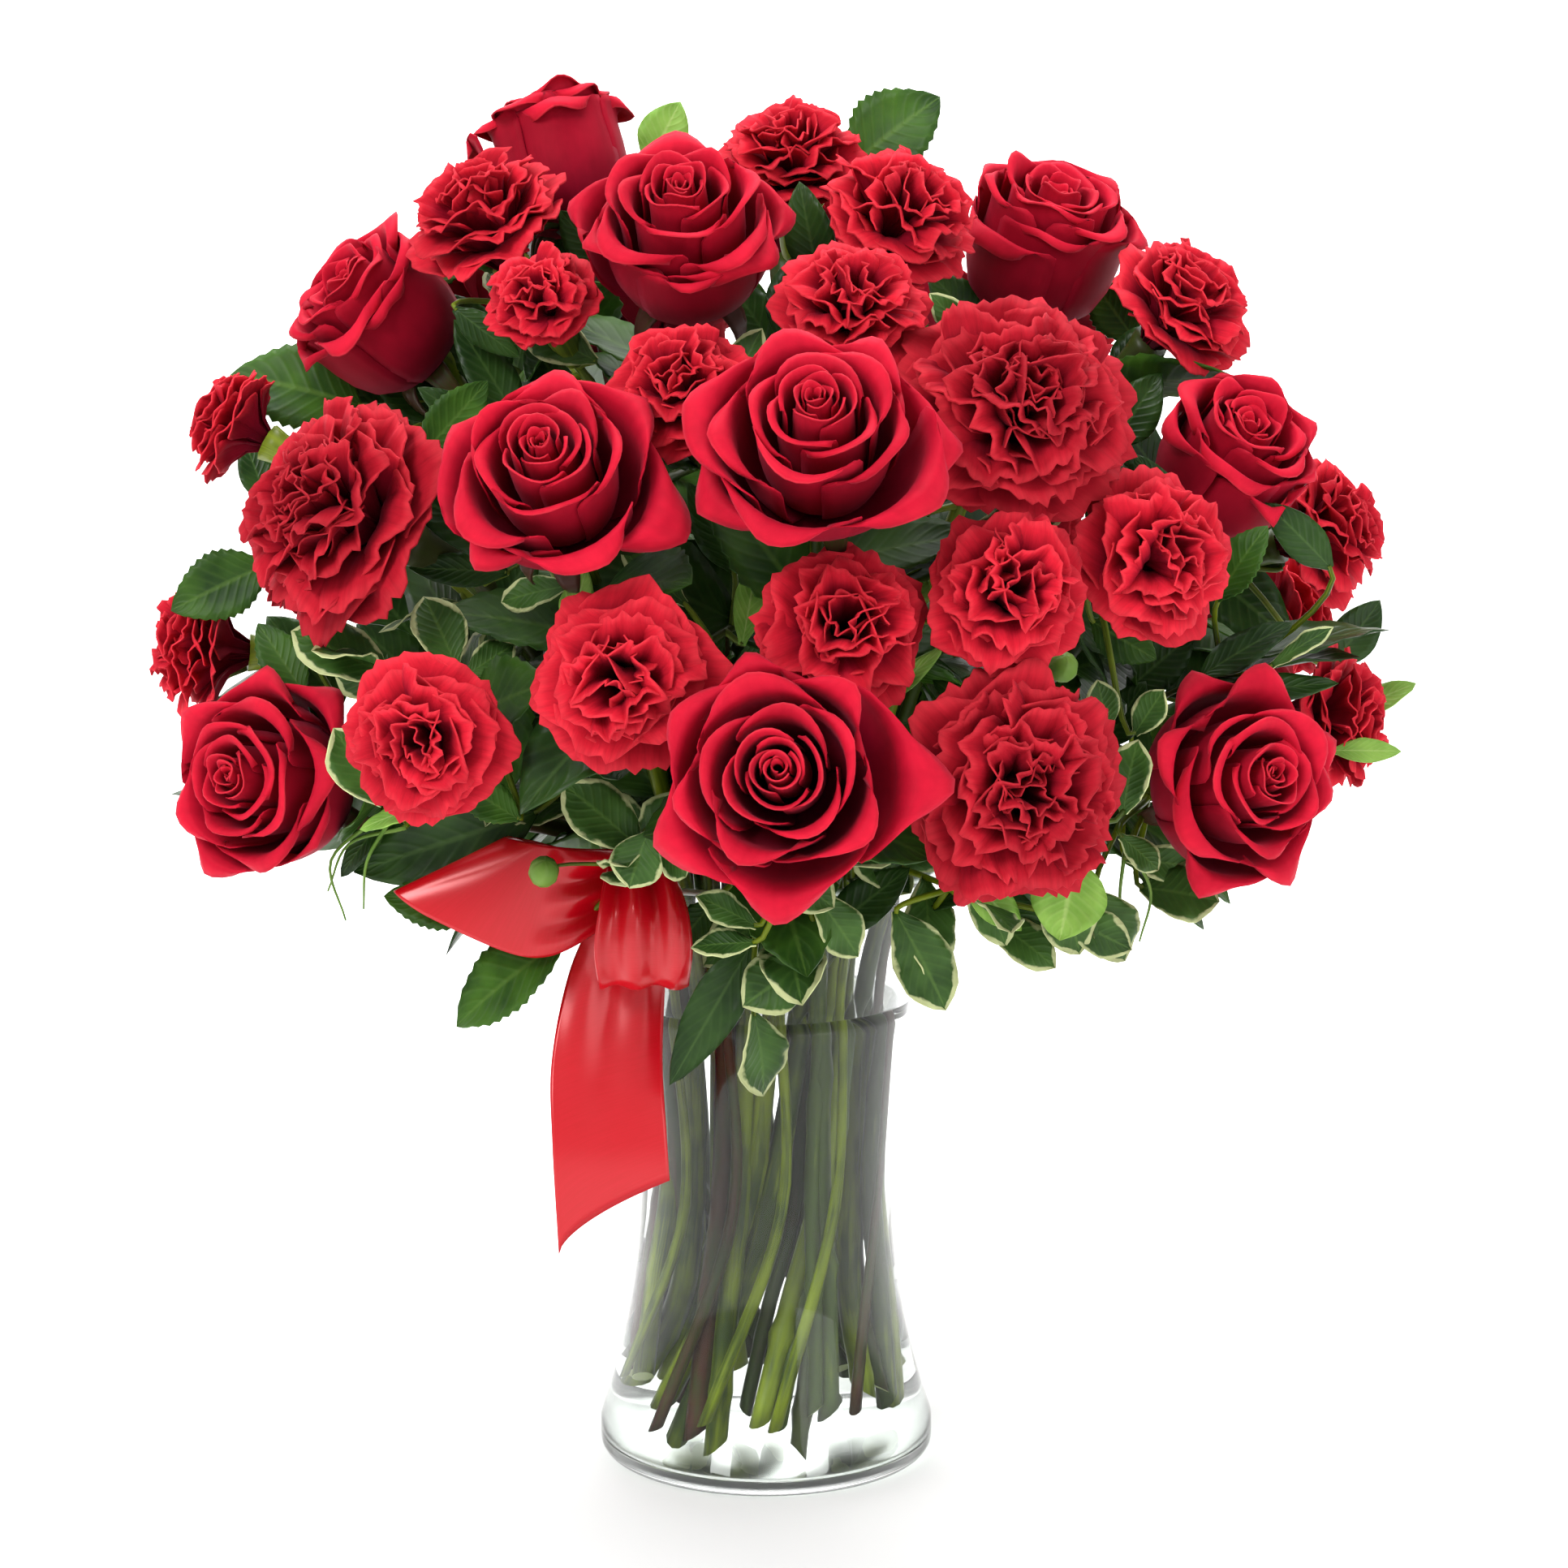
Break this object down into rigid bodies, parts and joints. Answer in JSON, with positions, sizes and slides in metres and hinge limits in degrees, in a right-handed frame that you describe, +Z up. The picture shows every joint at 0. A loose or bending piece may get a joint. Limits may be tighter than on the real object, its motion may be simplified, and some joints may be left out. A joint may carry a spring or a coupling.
{
  "type": "roses and carnations in a glass vase",
  "caption": "Domed bouquet of red roses and red carnations with leafy greens and a satin bow, standing in water in a clear flared glass vase.",
  "frame": {"origin": "centre of the vase's foot, on the surface that it stands on", "axes": "+Z up along the vase's axis, -Y the front of the bouquet with the bow to the left of the middle, +X the right seen from the front"},
  "size_m": [0.3974, 0.3969, 0.4475],
  "materials": {
    "vase_glass": "gloss",
    "vase_water": "gloss",
    "rose_petals": "matte",
    "carnation_petals": "matte",
    "rose_greens": "satin",
    "carnation_greens": "satin",
    "pittosporum_leaves": "satin",
    "salal_leaves": "gloss",
    "satin_ribbon": "satin"
  },
  "bodies": {
    "root": {"vase": "vase_glass", "water": "vase_water", "ribbon_bow": "satin_ribbon", "rose_top_left": "rose_petals", "rose_top": "rose_petals", "rose_top_right": "rose_petals", "rose_upper_left": "rose_petals", "rose_mid_left": "rose_petals", "rose_mid": "rose_petals", "rose_right": "rose_petals", "rose_front": "rose_petals", "rose_low_left": "rose_petals", "rose_low_right": "rose_petals", "rose_back_high": "rose_petals", "rose_back_low": "rose_petals", "carnation_mid_right": "carnation_petals", "carnation_left": "carnation_petals", "carnation_low_right": "carnation_petals", "carnation_back_left": "carnation_petals", "carnation_back_right": "carnation_petals", "carnation_back_low": "carnation_petals", "mini_top": "carnation_petals", "mini_top_right": "carnation_petals", "mini_crown": "carnation_petals", "mini_top_left": "carnation_petals", "mini_under_top_left": "carnation_petals", "mini_mid_left": "carnation_petals", "mini_mid_top": "carnation_petals", "mini_front_left": "carnation_petals", "mini_front": "carnation_petals", "mini_front_right": "carnation_petals", "mini_right_front": "carnation_petals", "mini_upper_right": "carnation_petals", "mini_far_right": "carnation_petals", "mini_right_low": "carnation_petals", "mini_far_right_low": "carnation_petals", "mini_far_left": "carnation_petals", "mini_low_far_left": "carnation_petals", "mini_low_left": "carnation_petals", "mini_back_top_right": "carnation_petals", "mini_back_right": "carnation_petals", "mini_back_low_right": "carnation_petals", "mini_back_top_left": "carnation_petals", "mini_back_left": "carnation_petals", "mini_back_low_left": "carnation_petals", "rose_stems_left": "rose_greens", "rose_stems_front": "rose_greens", "rose_stems_right": "rose_greens", "carnation_stems_left": "carnation_greens", "carnation_stems_front": "carnation_greens", "carnation_stems_back": "carnation_greens", "pittosporum_bow": "pittosporum_leaves", "pittosporum_front": "pittosporum_leaves", "pittosporum_right": "pittosporum_leaves", "pittosporum_left": "pittosporum_leaves", "pittosporum_back": "pittosporum_leaves", "salal_right": "salal_leaves", "salal_left": "salal_leaves", "salal_back_right": "salal_leaves", "salal_back_left": "salal_leaves"}
  },
  "joints": []
}
